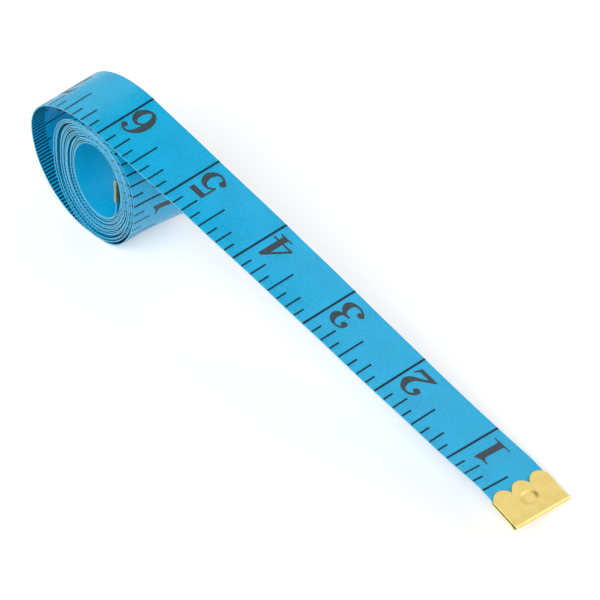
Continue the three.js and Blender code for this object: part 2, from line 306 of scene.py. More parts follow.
@dataclass(frozen=True)
class PressedBrassFinish:
    """Yellow brass strip, rolled and pressed: a soft shine with fine rolling lines and faint stains."""

    name: str = "rolled_and_pressed_brass"
    bright: str = "#f8de8d"
    warm: str = "#f2d67d"
    # Rolling lines are some hundredths of a millimetre apart. They are drawn coarser, so that the render shows them.
    streak: float = 0.35
    streak_length: float = 4.375
    streak_tint: float = 0.35
    streak_depth: float = 0.01
    streak_strength: float = 0.15
    stain: float = 3.0
    tint_span: Pair = (0.5, 0.8)
    roughness: Pair = (0.21, 0.39)

    def material(self) -> bpy.types.Material:
        """Build the material on the clip's own coordinates, in millimetres along and across it.

        Returns:
            The material.
        """
        material, tree = new_material(self.name)
        place = add_node(tree, "ShaderNodeUVMap", uv_map="tape").outputs["UV"]
        drawn = add_node(tree, "ShaderNodeMapping",
                         {"Vector": place, "Scale": (1 / self.streak, 1 / self.streak_length, 1.0)}).outputs[0]
        streaks, stains = (
            add_node(tree, "ShaderNodeTexNoise", {"Vector": where, "Scale": scale, "Detail": 3.0}).outputs["Fac"]
            for where, scale in ((drawn, 1.0), (place, 1 / self.stain)))
        tone = add_node(tree, "ShaderNodeMath", {0: streaks, 1: self.streak_tint, 2: stains},
                        operation="MULTIPLY_ADD").outputs[0]
        ramp = add_node(tree, "ShaderNodeValToRGB", {"Fac": tone}, zip(self.tint_span, (self.warm, self.bright)))
        rough = add_node(tree, "ShaderNodeMapRange",
                         {"Value": streaks, "To Min": self.roughness[0], "To Max": self.roughness[1]})
        bump = add_node(tree, "ShaderNodeBump", {"Height": streaks, "Strength": self.streak_strength,
                                                 "Distance": self.streak_depth * MILLIMETRE})
        shader = add_node(tree, "ShaderNodeBsdfPrincipled",
                          {"Base Color": ramp.outputs["Color"], "Metallic": 1.0, "Roughness": rough.outputs[0],
                           "Normal": bump.outputs[0]})
        add_node(tree, "ShaderNodeOutputMaterial", {"Surface": shader.outputs[0]})
        return material


@dataclass(frozen=True)
class PaperSweepFinish:
    """A white paper sweep: it looks white to the eye and in reflections, and still takes the object's soft shadow."""

    name: str = "white_paper_sweep"
    paper: str = "#e4e4e4"
    lift: float = 0.36

    def material(self) -> bpy.types.Material:
        """Build the material, with a lift that only the camera and mirror rays see.

        Returns:
            The material.
        """
        material, tree = new_material(self.name)
        paths = add_node(tree, "ShaderNodeLightPath")
        seen = paths.outputs["Is Camera Ray"]
        for ray in ("Is Glossy Ray", "Is Transmission Ray"):
            seen = add_node(tree, "ShaderNodeMath", {0: seen, 1: paths.outputs[ray]}, operation="MAXIMUM").outputs[0]
        lift = add_node(tree, "ShaderNodeMath", {0: seen, 1: self.lift}, operation="MULTIPLY").outputs[0]
        glow = add_node(tree, "ShaderNodeEmission", {"Strength": lift})
        paper = add_node(tree, "ShaderNodeBsdfDiffuse", {"Color": linear(self.paper)})
        both = add_node(tree, "ShaderNodeAddShader", {0: paper.outputs[0], 1: glow.outputs[0]})
        add_node(tree, "ShaderNodeOutputMaterial", {"Surface": both.outputs[0]})
        return material


# The tape's course

def share(value: float, start: float, end: float) -> float:
    """How far value lies from start to end, held between 0 and 1."""
    return min(1.0, max(0.0, (value - start) / (end - start)))


def smooth(value: float, start: float, end: float) -> float:
    """How far value lies from start to end, eased at both."""
    part = share(value, start, end)
    return part * part * (3 - 2 * part)


def fade(places: np.ndarray, run: Four) -> np.ndarray:
    """From 0 at a run's first place to 1 at its second, and from 1 at its third back to 0 at its last."""
    return np.interp(places, run, (0, 1, 1, 0))


def swell(places: np.ndarray, start: float, end: float) -> np.ndarray:
    """A soft rise from 0 at start to 1 half way, and back to 0 at end."""
    return np.sin(np.pi * np.clip((places - start) / (end - start), 0, 1)) ** 2


@dataclass
class Station:
    """A place on the tape's middle line, with directions to the outer tip, to the far edge and off the front."""

    point: np.ndarray
    along: np.ndarray
    across: np.ndarray
    normal: np.ndarray


@dataclass
class Course:
    """The line that the middle of the tape follows, by its distance in millimetres from the outer clip's fold.

    It is laid out in the roll's own frame: x is 0 at the coil's middle, y at the tape's middle and z on the floor.
    The tail and the loop follow the solids. The coil holds the whole length of the tape in close turns.
    """

    width: float = 20.0
    thickness: float = 0.28
    tip: float = 0.5
    tail: float = 6 * INCH
    # Found when the line is laid out
    slope: float = field(init=False)
    origin: np.ndarray = field(init=False)
    hinge: np.ndarray = field(init=False)
    coil_at: int = field(init=False)
    coil_end: float = field(init=False)
    end: float = field(init=False)
    distance: np.ndarray = field(init=False)
    points: np.ndarray = field(init=False)
    alongs: np.ndarray = field(init=False)
    acrosses: np.ndarray = field(init=False)
    normals: np.ndarray = field(init=False)
    # Tail: its arch lies across it, its hump along it, and faint ripples run over it
    twist: float = math.radians(14)
    lift: float = math.radians(9)
    dip: float = math.radians(2)
    sway: float = math.radians(4.2)
    lift_start: float = 32.0
    lift_end: float = 16.0
    clip_flat: float = 11.8
    arch: float = 0.12
    arch_run: Four = (clip_flat, 2 * INCH, tail - INCH, tail + INCH / 2)
    apex: float = -4.0
    hump: float = 0.5
    hump_run: Pair = (1.6 * INCH, 6.5 * INCH)
    ripple: float = 0.05
    ripple_lengths: Pair = (4.3, 6.0)
    ripple_run: Four = (clip_flat, 30.0, 175.0, 205.0)
    # Loop
    crown: Point2 = (-4.8, 38.66)
    crown_radius: float = 30.0
    bulge: Point2 = (-24.25, 23.58)
    shoulder: float = 2.14
    heel: float = 2.05
    foot: Point2 = (-2.6, 2.4)
    # Coil: where its outermost and innermost turns pass, at the right, left, top and foot
    outer: Four = (15.765, -15.55, 37.45, 0.1)
    inner: Four = (10.25, -7.26, 33.2, 9.2)
    turns: float = 14.8
    pitch: float = 0.285
    # Turns after which the coil is slack, each with its share of the spare room, at the right and elsewhere
    right_slack: tuple[Pair, ...] = ((0.5, 0.5), (1.5, 0.2))
    slack: tuple[Pair, ...] = ((3.0, 0.2), (6.5, 0.1), (10.0, 0.1), (13.2, 0.06))
    slack_run: float = 0.5
    fullness: float = 2.9
    heel_fullness: float = 1.92
    # The turns' edges aren't quite level: each wave has a length, a share and a start. A run in the roll starts at
    # two places counted from the tail's root, and ends at two counted from the coil's end.
    stagger: float = 0.22
    stagger_waves: tuple[tuple[float, float, float], ...] = ((31.0, 1.0, 0.0), (13.7, 0.6, 1.0))
    stagger_run: Four = (4 * INCH, 4 * INCH + 40.0, -30.0, 0.0)
    # In the roll the near edge is wound a little ahead of the far one. At the loop's heel the near edge draws in
    # and the far one flares out, each over a run counted from the tail's root.
    lead: float = 1.0
    lead_run: Four = (60.0, 95.0, -90.0, -50.0)
    draw: float = 0.7
    draw_run: Pair = (66.0, 112.0)
    flare: float = 1.7
    flare_run: Four = (77.0, 89.0, 94.0, 113.0)
    # Inner end: it lands this far past its hinge, on an eased curve
    inner_landing: float = 2.0
    inner_ease: float = 0.4
    inner_reach: float = 11.8
    inner_lean: float = math.radians(-2.4)
    # How finely the line is laid out
    step: float = 0.25
    least_step: float = 1e-6
    turn_points: int = 720
    quarter_points: int = 120
    ease_points: int = 60
    crown_points: int = 40
    end_points: int = 30

    def __post_init__(self) -> None:
        """Take the slope and the origin from the joints, and lay out the line in short steps."""
        joints = {j["name"]: j for j in frame["record"]["behaviour"]["joints"]}
        fifth, fourth = (np.array(joints[n]["pos_m"]) / MILLIMETRE for n in ("tail_bend_5", "tail_bend_4"))
        run = fourth - fifth
        self.slope = math.atan2(-run[2], run[0])
        root = self.root()
        fifth_at = root + np.array([math.cos(self.slope), 0, -math.sin(self.slope)]) * INCH
        self.origin = fifth - fifth_at
        self.origin[2] = 0.0
        self.hinge = np.array(joints["inner_end_bend"]["pos_m"]) / MILLIMETRE - self.origin
        self._lay()

    def root(self) -> np.ndarray:
        """The six-inch line, where the straight tail leaves the crown."""
        return np.array([self.crown[0] + self.crown_radius * math.sin(self.slope), 0.0,
                         self.crown[1] - self.crown_radius * (1 - math.cos(self.slope))])

    def directions(self, distance: float) -> np.ndarray:
        """The tail's three directions.

        Args:
            distance: millimetres from the clip's fold.

        Returns:
            Rows for along, across and normal.
        """
        fall = (self.slope - self.lift * share(distance, self.lift_start, self.lift_end)
                + (self.lift + self.dip) * share(distance, self.lift_end, self.clip_flat))
        sway = self.sway * share(distance, self.lift_start, self.clip_flat)
        twist = self.twist * share(distance, self.tail, self.clip_flat)
        turn = Matrix.Rotation(-sway, 3, "Z") @ Matrix.Rotation(fall, 3, "Y") @ Matrix.Rotation(-twist, 3, "X")
        return np.array(turn.transposed())

    def loose(self, turn: float, slack: tuple[Pair, ...]) -> float:
        """Share of the coil's spare room that lies outside a turn.

        Args:
            turn: turns from the coil's outer end.
            slack: slack turns, each with its share.

        Returns:
            A share from 0 to 1.
        """
        even = (1 - sum(part for _, part in slack)) * turn / self.turns
        half = self.slack_run / 2
        return even + sum(part * smooth(turn, at - half, at + half) for at, part in slack)

    def wind(self, turn: float) -> Point2:
        """A point of the coil.

        Args:
            turn: turns from the coil's outer end, which lies at its right.

        Returns:
            The point's x and z.
        """
        elsewhere = self.loose(turn, self.slack)
        looses = (self.loose(turn, self.right_slack), elsewhere, elsewhere, elsewhere)
        right, left, top, foot = (
            o + math.copysign(self.pitch * turn, i - o)
            + (i - o - math.copysign(self.pitch * self.turns, i - o)) * loose
            for o, i, loose in zip(self.outer, self.inner, looses))
        angle = 2 * math.pi * turn
        c, s = math.cos(angle), math.sin(angle)
        if c * s < 0:
            start = self.fullness if s > 0 else self.heel_fullness
            power = 2 / (start + (2 - start) * turn / self.turns)
            c, s = (math.copysign(abs(v) ** power, v) for v in (c, s))
        return ((right + left + (right - left) * c) / 2, (top + foot + (top - foot) * s) / 2)

    def _quarter(self, centre: Point2, size: Pair, start: float, fullness: float = 2.0) -> list[Point2]:
        """A quarter of an oval, counter-clockwise from a start angle in degrees.

        Args:
            centre: the oval's middle.
            size: half its width and height.
            start: the start angle.
            fullness: 2 for an ellipse, and more for squarer shoulders.

        Returns:
            Points on the quarter, in order.
        """
        out = []
        for angle in np.radians(np.linspace(start, start + 90, self.quarter_points)):
            c, s = (math.copysign(abs(f(angle)) ** (2 / fullness), f(angle)) for f in (math.cos, math.sin))
            out.append((centre[0] + size[0] * c, centre[1] + size[1] * s))
        return out

    def _loop_and_coil(self) -> list[Point2]:
        """Follow the tape from the tail's root round the loop and the coil to its inner end.

        Returns:
            The line's points, as x and z.
        """
        half = self.thickness / 2
        left, right = self.foot
        start = self.wind(0)
        line = [(self.crown[0] + self.crown_radius * math.sin(a),
                 self.crown[1] - self.crown_radius * (1 - math.cos(a)))
                for a in np.linspace(self.slope, 0, self.crown_points)]
        line += self._quarter((self.crown[0], self.bulge[1]),
                              (self.crown[0] - self.bulge[0], self.crown[1] - self.bulge[1]), 90, self.shoulder)
        line += self._quarter((left, self.bulge[1]), (left - self.bulge[0], self.bulge[1] - half), 180)
        line += self._quarter((right, start[1]), (start[0] - right, start[1] - half), 270, self.heel)
        line += [self.wind(n) for n in np.linspace(0, self.turns, int(self.turn_points * self.turns))]
        self.coil_at = len(line)
        before, last = np.array(line[-2]), np.array(line[-1])
        heading = (last - before) / np.linalg.norm(last - before)
        out = np.array([-math.sin(self.inner_lean), math.cos(self.inner_lean)])
        pivot = np.array([self.hinge[0], self.hinge[2]])
        landing = pivot + out * self.inner_landing
        reach = np.linalg.norm(landing - last) * self.inner_ease
        bend = [last, last + heading * reach, landing - out * reach, landing]
        for t in np.linspace(0, 1, self.ease_points)[1:]:
            weights = ((1 - t) ** 3, 3 * t * (1 - t) ** 2, 3 * t * t * (1 - t), t ** 3)
            line.append(tuple(sum(w * b for w, b in zip(weights, bend))))
        reaches = np.linspace(self.inner_landing, self.inner_reach, self.end_points)
        line += [tuple(pivot + out * r) for r in reaches[1:]]
        return line

    def _lay(self) -> None:
        """Lay the whole line out by distance, as arrays that the stations are read from."""
        count = int((self.tail - self.tip) / self.step)
        places, frames = [self.root()], [self.directions(self.tail)]
        distances = list(np.linspace(self.tail, self.tip, count + 1))
        for near, far in zip(distances, distances[1:]):
            straight = self.directions((near + far) / 2)[0]
            places.append(places[-1] + straight * (near - far))
            frames.append(self.directions(far))
        flat = np.array(self._loop_and_coil())
        run = np.concatenate([[0.0], np.cumsum(np.hypot(*np.diff(flat, axis=0).T))])
        keep = np.concatenate([[True], np.diff(run) > self.least_step])
        flat, kept = flat[keep], run[keep]
        self.coil_end = self.tail + run[self.coil_at - 1]
        self.end = self.tail + kept[-1]
        even = np.arange(self.step, kept[-1], self.step)
        even = np.append(even, kept[-1])
        xz = np.stack([np.interp(even, kept, flat[:, k]) for k in (0, 1)], 1)
        heading = np.gradient(xz, even, axis=0)
        heading /= np.linalg.norm(heading, axis=1)[:, None]
        zero, one = np.zeros(len(even)), np.ones(len(even))
        along = np.stack([-heading[:, 0], zero, -heading[:, 1]], 1)
        across = np.stack([zero, one, zero], 1)
        self.distance = np.concatenate([np.array(distances[::-1]), self.tail + even])
        self.points = np.concatenate([np.array(places[::-1]), np.stack([xz[:, 0], zero, xz[:, 1]], 1)])
        turned = np.array(frames[::-1])
        self.alongs = np.concatenate([turned[:, 0], along])
        self.acrosses = np.concatenate([turned[:, 1], across])
        self.normals = np.cross(self.alongs, self.acrosses)

    def station(self, distance: float) -> Station:
        """Read one place off the line.

        Args:
            distance: millimetres from the outer clip's fold.

        Returns:
            The station there.
        """
        point, along, across, normal = (
            np.array([np.interp(distance, self.distance, table[:, k]) for k in range(3)])
            for table in (self.points, self.alongs, self.acrosses, self.normals))
        return Station(point, *(v / np.linalg.norm(v) for v in (along, across, normal)))

    def in_roll(self, run: Four) -> Four:
        """A run's places in the roll, as distances from the outer clip's fold."""
        return (self.tail + run[0], self.tail + run[1], self.coil_end + run[2], self.coil_end + run[3])

    def surface(self, distance: np.ndarray, offset: np.ndarray, height: np.ndarray) -> np.ndarray:
        """Points on or near the tape, in the part's frame.

        Args:
            distance: millimetres from the outer clip's fold.
            offset: millimetres across from the tape's middle, towards its far edge.
            height: millimetres off its middle layer, towards the front.

        Returns:
            One row of metres for each point.
        """
        far = 2 * offset / self.width
        distance = distance - self.lead * far * fade(distance, self.in_roll(self.lead_run))
        point, across, normal = (
            np.stack([np.interp(distance, self.distance, table[:, k]) for k in range(3)], 1)
            for table in (self.points, self.acrosses, self.normals))
        bow = self.arch * fade(distance, self.arch_run) * (0.5 - (2 * (offset - self.apex) / self.width) ** 2)
        bow += self.hump * swell(distance, *self.hump_run)
        past, side = distance - self.tail, (1 + far) / 2
        drawn = self.draw * swell(past, *self.draw_run)
        flared = self.flare * np.sin(np.pi / 2 * fade(past, self.flare_run)) ** 2
        bow += far * (drawn * (1 - side) + flared * side)
        lengthwise, crosswise = self.ripple_lengths
        bow += self.ripple * fade(distance, self.ripple_run) * np.sin(distance / lengthwise + offset / crosswise)
        waves = sum(part * np.sin(distance / length + phase) for length, part, phase in self.stagger_waves)
        drift = self.stagger * fade(distance, self.in_roll(self.stagger_run)) * waves
        place = point + across * (offset + drift)[:, None] + normal * (height + bow)[:, None]
        return (place + self.origin) * MILLIMETRE


# Printed marks

@dataclass(frozen=True)
class Stroke:
    """A pen stroke of a numeral: points on its middle line, each with the stroke's width there."""

    points: tuple[tuple[float, float, float], ...]
    closed: bool = False

    def outline(self, steps: int) -> tuple[list[Point2], list[list[int]]]:
        """Sweep the pen along a smooth curve through the points.

        Args:
            steps: cross cuts from one point to the next.

        Returns:
            Corners, and four-sided faces that number them.
        """
        pts = np.array(self.points)
        count = len(pts)
        spans = count if self.closed else count - 1
        centre = []
        for i in range(spans):
            pick = [(i + k) % count if self.closed else min(max(i + k, 0), count - 1) for k in (-1, 0, 1, 2)]
            a, b, c, d = pts[pick]
            for t in np.arange(steps) / steps:
                centre.append(0.5 * (2 * b + (c - a) * t + (2 * a - 5 * b + 4 * c - d) * t * t
                                     + (3 * b - 3 * c + d - a) * t ** 3))
        if not self.closed:
            centre.append(pts[-1])
        line = np.array(centre)
        if self.closed:
            heading = np.roll(line, -1, axis=0) - np.roll(line, 1, axis=0)
        else:
            heading = np.gradient(line, axis=0)
        heading = heading[:, :2] / np.linalg.norm(heading[:, :2], axis=1)[:, None]
        side = np.stack([-heading[:, 1], heading[:, 0]], 1) * (line[:, 2:] + INK_SPREAD) / 2
        corners = [tuple(p) for pair in zip(line[:, :2] + side, line[:, :2] - side) for p in pair]
        total = len(line)
        faces = [[2 * i, 2 * i + 1, 2 * ((i + 1) % total) + 1, 2 * ((i + 1) % total)]
                 for i in range(total if self.closed else total - 1)]
        return corners, faces


@dataclass(frozen=True)
class Patch:
    """A filled shape of a numeral, by its corners."""

    points: tuple[Point2, ...]

    def outline(self, steps: int) -> tuple[list[Point2], list[list[int]]]:
        """Cut the patch's sides into short lengths, which can follow the tape's bend.

        Args:
            steps: how finely it is cut: a quarter of it is the cuts in each unit of length.

        Returns:
            Corners, and one face that numbers them.
        """
        corners: list[Point2] = []
        for (u, v), (p, q) in zip(self.points, self.points[1:] + self.points[:1]):
            cuts = max(1, math.ceil(math.hypot(p - u, q - v) * steps / 4))
            corners += [(u + (p - u) * i / cuts, v + (q - v) * i / cuts) for i in range(cuts)]
        return corners, [list(range(len(corners)))]


@dataclass(frozen=True)
class Ball:
    """A round terminal of a numeral."""

    centre: Point2
    radius: float

    def outline(self, steps: int) -> tuple[list[Point2], list[list[int]]]:
        """Draw the ball as one many-sided face.

        Args:
            steps: how finely it is drawn: a third of its sides.

        Returns:
            Corners, and one face that numbers them.
        """
        sides = 3 * steps
        radius, turn = self.radius + INK_SPREAD / 2, 2 * math.pi / sides
        return ([(self.centre[0] + radius * math.cos(turn * i), self.centre[1] + radius * math.sin(turn * i))
                 for i in range(sides)], [list(range(sides))])


@dataclass(frozen=True)
class Digit:
    """One bold numeral with ball ends and thin joins, ten units high from its base, and its gap to the inch line."""

    width: float
    shapes: tuple[Stroke | Patch | Ball, ...]
    gap: float = 1.25


SIX = (
    Stroke(((5.0, 9.55, 0.5), (4.1, 10.05, 0.45), (3.2, 9.95, 0.55), (2.0, 9.05, 1.0), (1.15, 7.2, 1.7),
            (0.95, 5.0, 1.9), (1.1, 3.0, 1.7), (1.9, 1.15, 1.1), (3.15, 0.45, 0.65), (4.45, 1.2, 1.15),
            (5.3, 3.2, 1.75), (4.85, 5.2, 1.35), (3.6, 6.15, 0.8), (2.4, 5.6, 0.6), (1.6, 4.7, 0.6))),
    Ball((5.0, 8.8), 0.8))


def half_turn(shape: Stroke | Ball, middle: Point2) -> Stroke | Ball:
    """Turn a shape by half a turn, which makes a nine of a six.

    Args:
        shape: the stroke or ball to turn.
        middle: the point that it turns about.

    Returns:
        The turned shape.
    """
    if isinstance(shape, Ball):
        return Ball((2 * middle[0] - shape.centre[0], 2 * middle[1] - shape.centre[1]), shape.radius)
    return Stroke(tuple((2 * middle[0] - u, 2 * middle[1] - v, w) for u, v, w in shape.points))


DIGITS: dict[str, Digit] = {
    "0": Digit(6.2, (Stroke(((3.1, 9.75, 0.5), (1.75, 8.7, 1.2), (1.0, 6.6, 1.85), (0.95, 5.0, 1.9), (1.0, 3.4, 1.85),
                             (1.75, 1.3, 1.2), (3.1, 0.25, 0.5), (4.45, 1.3, 1.2), (5.2, 3.4, 1.85), (5.25, 5.0, 1.9),
                             (5.2, 6.6, 1.85), (4.45, 8.7, 1.2)), closed=True),)),
    "1": Digit(5.4, (Patch(((0.0, 9.1), (0.0, 8.75), (1.1, 8.45), (1.75, 8.1), (2.0, 7.4), (2.0, 1.0), (1.85, 0.65),
                            (1.4, 0.5), (0.2, 0.42), (0.2, 0.0), (5.4, 0.0), (5.4, 0.42), (4.4, 0.5), (4.0, 0.65),
                            (3.84, 1.0), (3.84, 10.0), (3.3, 10.0), (2.6, 9.4), (1.6, 9.12))),), gap=1.8),
    "2": Digit(6.35, (Ball((1.5, 7.0), 0.9),
                      Stroke(((0.95, 7.3, 0.6), (1.25, 8.4, 0.65), (2.1, 9.3, 0.6), (3.3, 9.6, 0.6),
                              (4.55, 9.05, 1.2), (5.4, 7.0, 1.8), (5.1, 5.3, 1.55), (4.2, 4.0, 1.05),
                              (2.9, 2.7, 0.7), (1.5, 1.2, 0.75), (0.7, 0.35, 0.7))),
                      Patch(((0.0, 0.0), (5.64, 0.0), (6.35, 2.9), (6.0, 3.0), (5.55, 1.85), (5.0, 1.42), (1.9, 1.35),
                             (1.0, 1.0))))),
    "3": Digit(6.06, (Ball((1.46, 7.58), 0.85),
                      Stroke(((0.85, 7.9, 0.5), (1.3, 9.0, 0.55), (2.2, 9.55, 0.5), (3.1, 9.65, 0.5), (4.3, 9.1, 1.2),
                              (5.0, 7.5, 1.7), (4.75, 6.2, 1.45), (3.9, 5.25, 0.7), (2.9, 4.95, 0.5),
                              (2.1, 4.85, 0.5))),
                      Stroke(((2.6, 4.9, 0.5), (3.6, 4.85, 0.6), (4.6, 4.0, 1.3), (5.15, 2.4, 1.8), (4.8, 1.0, 1.4),
                              (3.8, 0.2, 0.75), (2.6, 0.0, 0.5), (1.5, 0.45, 0.5), (0.75, 1.1, 0.7))),
                      Ball((0.96, 1.67), 0.9)), gap=1.5),
    "4": Digit(6.6, (Patch(((0.0, 2.1), (0.0, 2.6), (4.2, 9.95), (5.0, 9.95), (3.7, 7.55), (0.9, 2.8), (0.9, 2.1))),
                     Patch(((3.4, 0.9), (3.3, 0.6), (2.9, 0.5), (2.1, 0.42), (2.1, 0.0), (6.2, 0.0), (6.2, 0.42),
                            (5.6, 0.5), (5.25, 0.6), (5.17, 0.9), (5.17, 9.95), (4.3, 9.95), (3.4, 8.0))),
                     Patch(((0.1, 2.1), (6.6, 2.1), (6.6, 2.75), (0.1, 2.75)))), gap=0.95),
    "5": Digit(6.12, (Patch(((0.72, 4.4), (1.3, 4.3), (1.3, 7.9), (5.4, 7.9), (5.4, 9.7), (0.8, 9.7))),
                      Stroke(((0.95, 4.25, 0.3), (1.6, 5.2, 0.45), (2.4, 5.75, 0.6), (3.3, 5.75, 0.85),
                              (4.5, 5.05, 1.35), (5.24, 3.1, 1.75), (4.85, 1.4, 1.4), (3.9, 0.3, 0.8),
                              (3.0, 0.05, 0.5), (2.1, 0.25, 0.5), (1.2, 0.9, 0.6), (0.7, 1.4, 0.6))),
                      Ball((0.96, 1.75), 0.9)), gap=1.15),
    "6": Digit(6.2, SIX, gap=0.6),
    "7": Digit(6.2, (Patch(((0.2, 6.9), (0.6, 6.9), (1.0, 7.9), (1.6, 8.35), (4.6, 8.35), (3.6, 6.6), (2.6, 4.6),
                            (2.05, 2.6), (1.9, 0.0), (3.95, 0.0), (4.0, 2.0), (4.5, 4.4), (5.3, 6.8), (6.2, 9.2),
                            (6.2, 9.9), (0.35, 9.9))),), gap=0.4),
    "8": Digit(6.2, (Stroke(((3.1, 9.75, 0.5), (1.75, 9.0, 1.0), (1.3, 7.55, 1.4), (1.9, 6.2, 1.1), (3.1, 5.35, 0.9),
                             (4.35, 6.2, 0.7), (4.95, 7.55, 1.2), (4.4, 9.0, 0.9)), closed=True),
                     Stroke(((3.1, 5.3, 0.8), (1.5, 4.4, 0.9), (0.9, 2.6, 1.6), (1.5, 0.95, 1.1), (3.1, 0.25, 0.5),
                             (4.7, 0.95, 1.1), (5.25, 2.6, 1.7), (4.5, 4.3, 1.5)), closed=True))),
    "9": Digit(6.2, tuple(half_turn(s, (3.1, 5.1)) for s in SIX)),
}

FlatMesh = tuple[list[Point2], list[tuple[int, ...]]]


def anticlockwise(face: list[int], corners: list[Point2]) -> list[int]:
    """Turn a flat face's corners round where they run clockwise.

    Args:
        face: the face's corner numbers.
        corners: the places that they number.

    Returns:
        The corner numbers, anticlockwise.
    """
    ring = [corners[i] for i in face]
    area = sum(a[0] * b[1] - b[0] * a[1] for a, b in zip(ring, ring[1:] + ring[:1]))
    return face if area > 0 else face[::-1]


@dataclass(frozen=True)
class Bar:
    """A straight line of a scale, square across the tape."""

    distance: float
    start: float
    end: float
    thickness: float
    face_length: float = 1.7

    def flat(self, low: float, high: float) -> FlatMesh:
        """The part of the bar from one distance to another, as a grid.

        Args:
            low: the nearer cut, in millimetres from the clip's fold.
            high: the farther cut.

        Returns:
            Corners as distance and offset, and faces that number them.
        """
        near, far = max(low, self.distance - self.thickness / 2), min(high, self.distance + self.thickness / 2)
        if far - near < TOUCH:
            return [], []
        rows = max(1, math.ceil((self.end - self.start) / self.face_length))
        offsets = np.linspace(self.start, self.end, rows + 1)
        corners = [(d, w) for w in offsets for d in (near, far)]
        return corners, [(2 * i, 2 * i + 1, 2 * i + 3, 2 * i + 2) for i in range(rows)]


@dataclass(frozen=True)
class Numeral:
    """A numeral of a scale, with its top towards the near edge, or towards the far one where tall is negative.

    A grid of points in it lets it follow the tape's bend. The grid starts a little inside, clear of the corners.
    """

    digit: str
    start: float
    base: float
    wide: float
    tall: float
    steps: int
    grid: float = 1.1
    grid_start: Pair = (0.07, 0.05)

    def place(self, point: Point2) -> Point2:
        """Distance and offset of a point of the digit."""
        return self.start + point[0] * self.wide, self.base - point[1] * self.tall

    def flat(self, low: float, high: float) -> FlatMesh:
        """The part of the numeral from one distance to another, as one merged set of triangles.

        Args:
            low: the nearer cut, in millimetres from the clip's fold.
            high: the farther cut.

        Returns:
            Corners as distance and offset, and faces that number them.
        """
        corners: list[Point2] = []
        faces: list[list[int]] = []
        for shape in DIGITS[self.digit].shapes:
            points, parts = shape.outline(self.steps)
            first = len(corners)
            corners += [self.place(p) for p in points]
            faces += [anticlockwise([first + i for i in part], corners) for part in parts]
        left, right = (f(c[0] for c in corners) for f in (min, max))
        if right < low or left > high:
            return [], []
        top, foot = (f(c[1] for c in corners) for f in (min, max))
        edges = []
        for cut in (low, high):
            if left < cut < right:
                edges.append((len(corners), len(corners) + 1))
                corners += [(cut, top - 1), (cut, foot + 1)]
        lengthwise, crosswise = self.grid_start
        corners += [(d, w) for d in np.arange(left + lengthwise, right, self.grid)
                    for w in np.arange(top + crosswise, foot, self.grid)]
        points, _, triangles, _, _, sources = delaunay_2d_cdt([Vector(c) for c in corners], edges, faces, 0, TOUCH)
        kept = [t for t, s in zip(triangles, sources)
                if s and low <= sum(points[i][0] for i in t) / 3 <= high]
        used = sorted({i for t in kept for i in t})
        number = {old: new for new, old in enumerate(used)}
        return [tuple(points[i]) for i in used], [tuple(number[i] for i in t) for t in kept]


class Side(Enum):
    """The tape's two printed sides, with the sign of each one's height."""

    FRONT = 1
    BACK = -1


@dataclass
class InchScale:
    """Eighths of an inch from the near edge on the front, counted from the outer clip.

    In the closed turns only the ticks go on, because nothing else of the print can be seen there.
    """

    course: Course
    side: Side = Side.FRONT
    line: float = 0.62
    tick: float = 0.5
    eighth: float = 0.18
    quarter: float = 0.287
    half: float = 0.475
    numeral_foot: float = 0.84
    numeral_steps: int = 6
    first: float = 11.9
    last: float = 14 * INCH

    def marks(self) -> list[Bar | Numeral]:
        """Set out the scale.

        Returns:
            Its lines and numerals.
        """
        width = self.course.width
        near = -width / 2
        out: list[Bar | Numeral] = []
        reaches = (1.0, self.eighth, self.quarter, self.eighth, self.half, self.eighth, self.quarter, self.eighth)
        for count in range(math.ceil(self.first / INCH * 8), int((self.course.end - self.first) / INCH * 8) + 1):
            at, reach = count * INCH / 8, reaches[count % 8]
            if at > self.last:
                reach = self.eighth
            out.append(Bar(at, near + SLIT, near + width * reach, self.line if count % 8 == 0 else self.tick))
        base = near + width * self.numeral_foot
        for inch in range(1, int(self.last / INCH) + 1):
            text = str(inch)
            start = inch * INCH - DIGITS[text[0]].gap - DIGITS[text[0]].width
            out.append(Numeral(text[0], start, base, 1.0, 1.0, self.numeral_steps))
            if len(text) == 2:
                start = inch * INCH + DIGITS[text[1]].gap
                out.append(Numeral(text[1], start, base, 1.0, 1.0, self.numeral_steps))
        return out


@dataclass
class CentimetreScale:
    """Millimetres from the near edge on the back, counted from the outer clip, with the numerals' feet to that edge.

    In the closed turns only the ticks go on, and the bore's own wall is bare. The sides are printed one after the
    other, so the back's lines lie a little off the front's zero.
    """

    course: Course
    side: Side = Side.BACK
    line: float = 0.45
    tick: float = 0.48
    wound_tick: float = 0.22
    millimetre: float = 0.225
    five: float = 0.29
    numeral_foot: float = 0.46
    numeral_steps: int = 4
    wide: float = 0.4
    tall: float = 0.72
    gap: float = 0.9
    spacing: float = 0.25
    offset: float = -1.4
    first: float = 11.9
    last: float = 10 * INCH
    bare: float = 62.0

    def marks(self) -> list[Bar | Numeral]:
        """Set out the scale.

        Returns:
            Its lines and numerals.
        """
        width = self.course.width
        near = -width / 2
        out: list[Bar | Numeral] = []
        for millimetre in range(math.ceil(self.first - self.offset), int(self.course.coil_end - self.bare)):
            at = millimetre + self.offset
            reach = 1.0 if millimetre % 10 == 0 else self.five if millimetre % 5 == 0 else self.millimetre
            thick = self.line if millimetre % 10 == 0 else self.tick
            if at > self.last:
                reach, thick = self.millimetre, self.wound_tick
            out.append(Bar(at, near + SLIT, near + width * reach, thick))
            if millimetre % 10 or at > self.last:
                continue
            text = str(millimetre // 10)
            long = sum(DIGITS[c].width * self.wide + self.spacing for c in text) - self.spacing
            start, base = at - self.gap - long, near + width * self.numeral_foot
            for character in text:
                out.append(Numeral(character, start, base, self.wide, -self.tall, self.numeral_steps))
                start += DIGITS[character].width * self.wide + self.spacing
        return out


# Meshes

